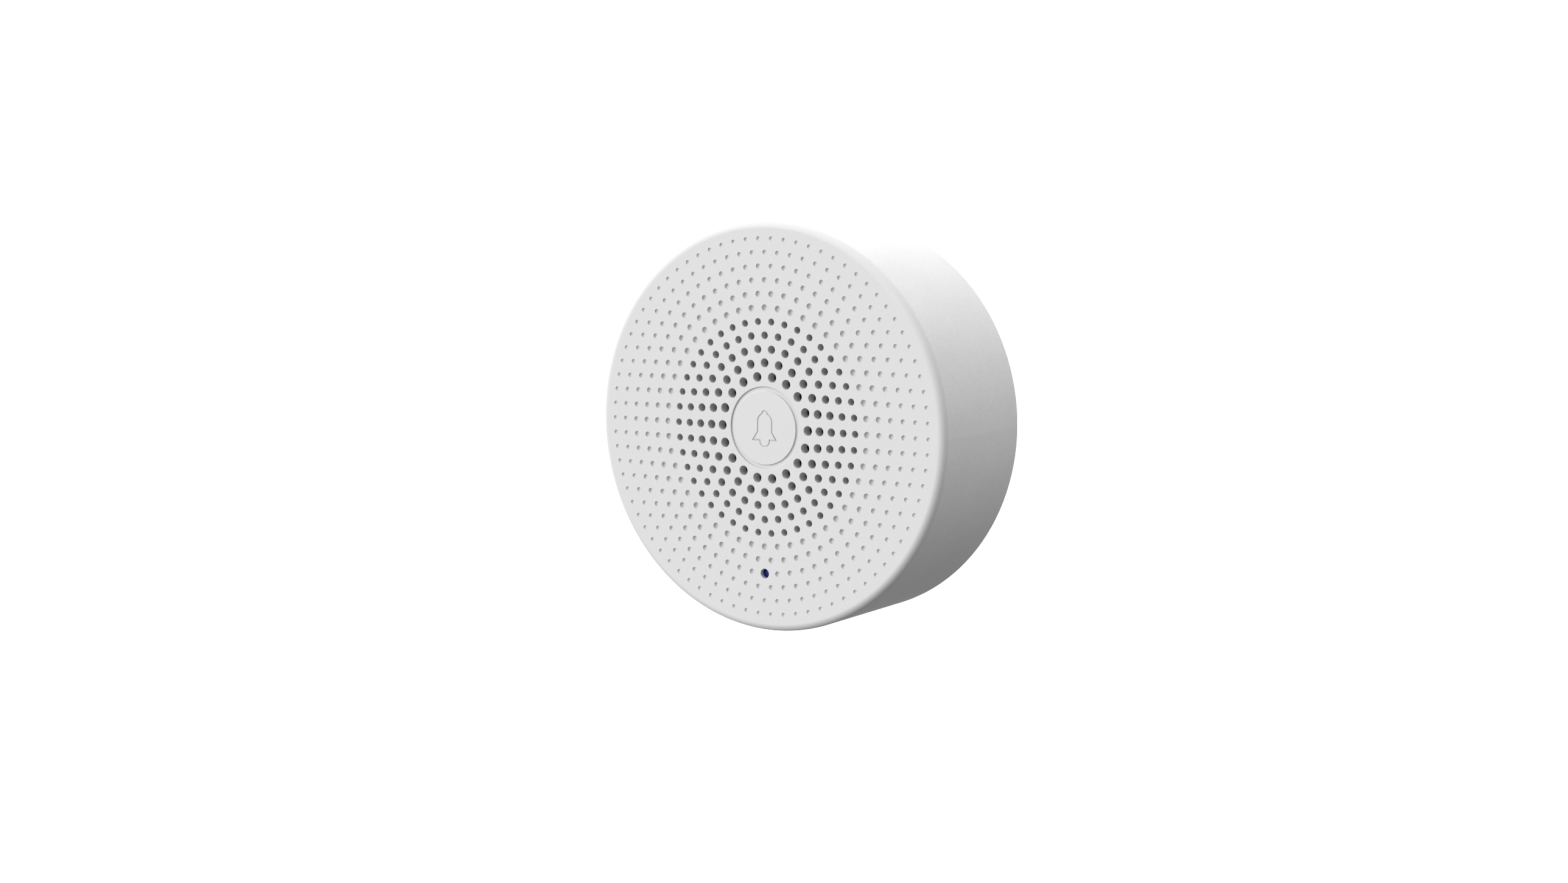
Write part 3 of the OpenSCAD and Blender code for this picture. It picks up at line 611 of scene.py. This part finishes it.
LOOKS = {
    "cover_plastic": moulded("cover_look", WHITE, 0.6),
    "button_plastic": moulded("button_look", WHITE, 0.6),
    "housing_plastic": moulded("housing_look", WHITE, 0.6, grain=0.2, depth=0.01, variation=0.13),
    "bracket_plastic": moulded("bracket_look", (0.45, 0.45, 0.45), 0.55, grain=0.3, depth=0.01),
    "grey_plastic": moulded("grey_look", (0.12, 0.12, 0.125), 0.5, variation=0.08),
    "black_plastic": moulded("black_look", (0.018, 0.018, 0.02), 0.45, variation=0.15),
    "brown_plastic": moulded("brown_look", (0.13, 0.05, 0.02), 0.42, variation=0.1),
    "ivory_plastic": moulded("ivory_look", (0.72, 0.66, 0.5), 0.45, variation=0.04),
    "plunger_plastic": moulded("plunger_look", (0.75, 0.24, 0.03), 0.45, variation=0.05),
    "chip_epoxy": moulded("chip_look", (0.02, 0.02, 0.022), 0.6, grain=0.1, variation=0.2),
    "led_resin": moulded("led_look", (0.75, 0.68, 0.4), 0.3, variation=0.05, Subsurface_Weight=0.2),
    "wire_red": moulded("red_wire_look", (0.5, 0.02, 0.015), 0.38, grain=0.5, variation=0.1),
    "wire_black": moulded("black_wire_look", (0.015, 0.015, 0.016), 0.38, grain=0.5, variation=0.2),
    "gasket_rubber": rubber("gasket_look", (0.03, 0.03, 0.032)),
    "surround_rubber": rubber("surround_look", (0.014, 0.014, 0.015), 0.6),
    "mesh_fabric": woven("fabric_look", (0.006, 0.006, 0.006), 0.25),
    "gasket_foam": fibrous("foam_look", (0.03, 0.03, 0.03), 0.35, 0.9),
    "cone_film": fibrous("cone_look", (0.03, 0.03, 0.034), 0.6, 0.55),
    "lens_blue": lens("lens_look"),
    "board_laminate": laminate("board_look"),
    "cell_sleeve": sleeve("sleeve_look"),
    "copper_wire": wound("copper_look", (0.72, 0.35, 0.16), 0.12),
    "tinned_steel": metal("tinned_look", (0.72, 0.71, 0.68), 0.3),
    "capacitor_can": metal("can_look", (0.45, 0.46, 0.48), 0.35, (1, 0.1, 1)),
    "pressed_steel": metal("pressed_look", shade(STEEL, 0.85), 0.4),
    "zinc_steel": metal("zinc_look", (0.66, 0.66, 0.62), 0.34, blotch=0.8),
    "magnet_nickel": metal("nickel_look", (0.6, 0.57, 0.52), 0.25),
    "screw_steel": metal("screw_look", STEEL, 0.33, (1, 0.2, 1)),
    "spring_steel": metal("spring_look", STEEL, 0.28),
    "contact_brass": metal("brass_look", (0.74, 0.56, 0.26), 0.32, (0.2, 1, 1)),
}


# Stage

def world_light():
    """Soft lights in a dim dome, each an azimuth, an elevation, how narrow it is and its strength.

    The camera itself sees a plain white background.
    """
    dim = 0.18
    white = 1.15
    lights = [(-25, 25, 40, 5), (-40, 15, 6, 1.8), (-20, 0, 6, 1.3), (90, 45, 6, 1.42), (0, 85, 5, 1.9),
              (190, 20, 5, 3.4), (-110, 0, 8, 2.3)]
    world = bpy.data.worlds.new("studio")
    bpy.context.scene.world = world
    world.use_nodes = True
    tree = world.node_tree
    around = tree.nodes.new("ShaderNodeTexCoord").outputs["Generated"]

    def maths(operation, a, b):
        made = tree.nodes.new("ShaderNodeMath")
        made.operation = operation
        for socket, value in zip(made.inputs, (a, b)):
            feed(tree, socket, value)
        return made.outputs[0]

    light = None
    for azimuth, elevation, narrowness, strength in lights:
        side, height = radians(azimuth), radians(elevation)
        along = tree.nodes.new("ShaderNodeVectorMath")
        along.operation = "DOT_PRODUCT"
        tree.links.new(around, along.inputs[0])
        along.inputs[1].default_value = (sin(side) * cos(height), -cos(side) * cos(height), sin(height))
        lobe = maths("POWER", maths("MAXIMUM", along.outputs["Value"], 0.0), narrowness)
        light = maths("ADD", maths("MULTIPLY", lobe, strength), light or dim)
    dome = tree.nodes["Background"]
    tree.links.new(light, dome.inputs["Strength"])
    dome.inputs["Color"].default_value = (1, 1, 1, 1)
    backdrop = tree.nodes.new("ShaderNodeBackground")
    backdrop.inputs["Color"].default_value = (1, 1, 1, 1)
    backdrop.inputs["Strength"].default_value = white
    either = tree.nodes.new("ShaderNodeMixShader")
    tree.links.new(tree.nodes.new("ShaderNodeLightPath").outputs["Is Camera Ray"], either.inputs[0])
    tree.links.new(dome.outputs[0], either.inputs[1])
    tree.links.new(backdrop.outputs[0], either.inputs[2])
    tree.links.new(either.outputs[0], tree.nodes["World Output"].inputs[0])
    bpy.context.scene.view_settings.view_transform = "Standard"


def studio_floor():
    """A pale floor far below, which neither lights the object nor shows a horizon."""
    half = 30
    drop = 0.6
    mesh = bpy.data.meshes.new("studio_floor")
    corners = [(-half, -half, 0), (half, -half, 0), (half, half, 0), (-half, half, 0)]
    mesh.from_pydata(corners, [], [(0, 1, 2, 3)])
    floor = bpy.data.objects.new("studio_floor", mesh)
    floor.location.z = -drop
    bpy.context.collection.objects.link(floor)
    look = Look("floor_look", Roughness=0.9)
    look.set(Base_Color=look.blend(look.noise(40), (0.86, 0.86, 0.86, 1), (0.9, 0.9, 0.9, 1)))
    floor.data.materials.append(look.material)
    floor.visible_diffuse = False
    floor.visible_glossy = False
    floor.visible_transmission = False
    floor.visible_shadow = False


def camera():
    """A 50 mm view from the right and slightly above, 0.42 m from the face and a little off its middle."""
    azimuth, elevation = radians(33.72), radians(6.53)
    distance, aside, below = 0.424, 0.00377, 0.00262
    back = Vector((sin(azimuth) * cos(elevation), -cos(azimuth) * cos(elevation), sin(elevation)))
    right = (-back).cross(Vector((0, 0, 1))).normalized()
    up = right.cross(-back)
    face_centre = Vector(((cad_low.x + cad_high.x) / 2, cad_low.y, (cad_low.z + cad_high.z) / 2))
    made = bpy.data.objects.new("camera", bpy.data.cameras.new("camera"))
    made.data.lens = 50.115
    made.data.sensor_width = 36
    made.location = face_centre + back * distance + right * aside - up * below
    made.rotation_mode = "QUATERNION"
    made.rotation_quaternion = (-back).to_track_quat("-Z", "Y")
    made.data.clip_start = 0.01
    bpy.context.collection.objects.link(made)
    bpy.context.scene.camera = made


def dress_frame():
    """Gives every CAD node the look of its material slot."""
    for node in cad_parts.values():
        for slot in node.material_slots:
            slot.material = LOOKS[slot.material.name]


camera()
dress_frame()
front_cover()
bell_button()
light_pipe()
world_light()
studio_floor()
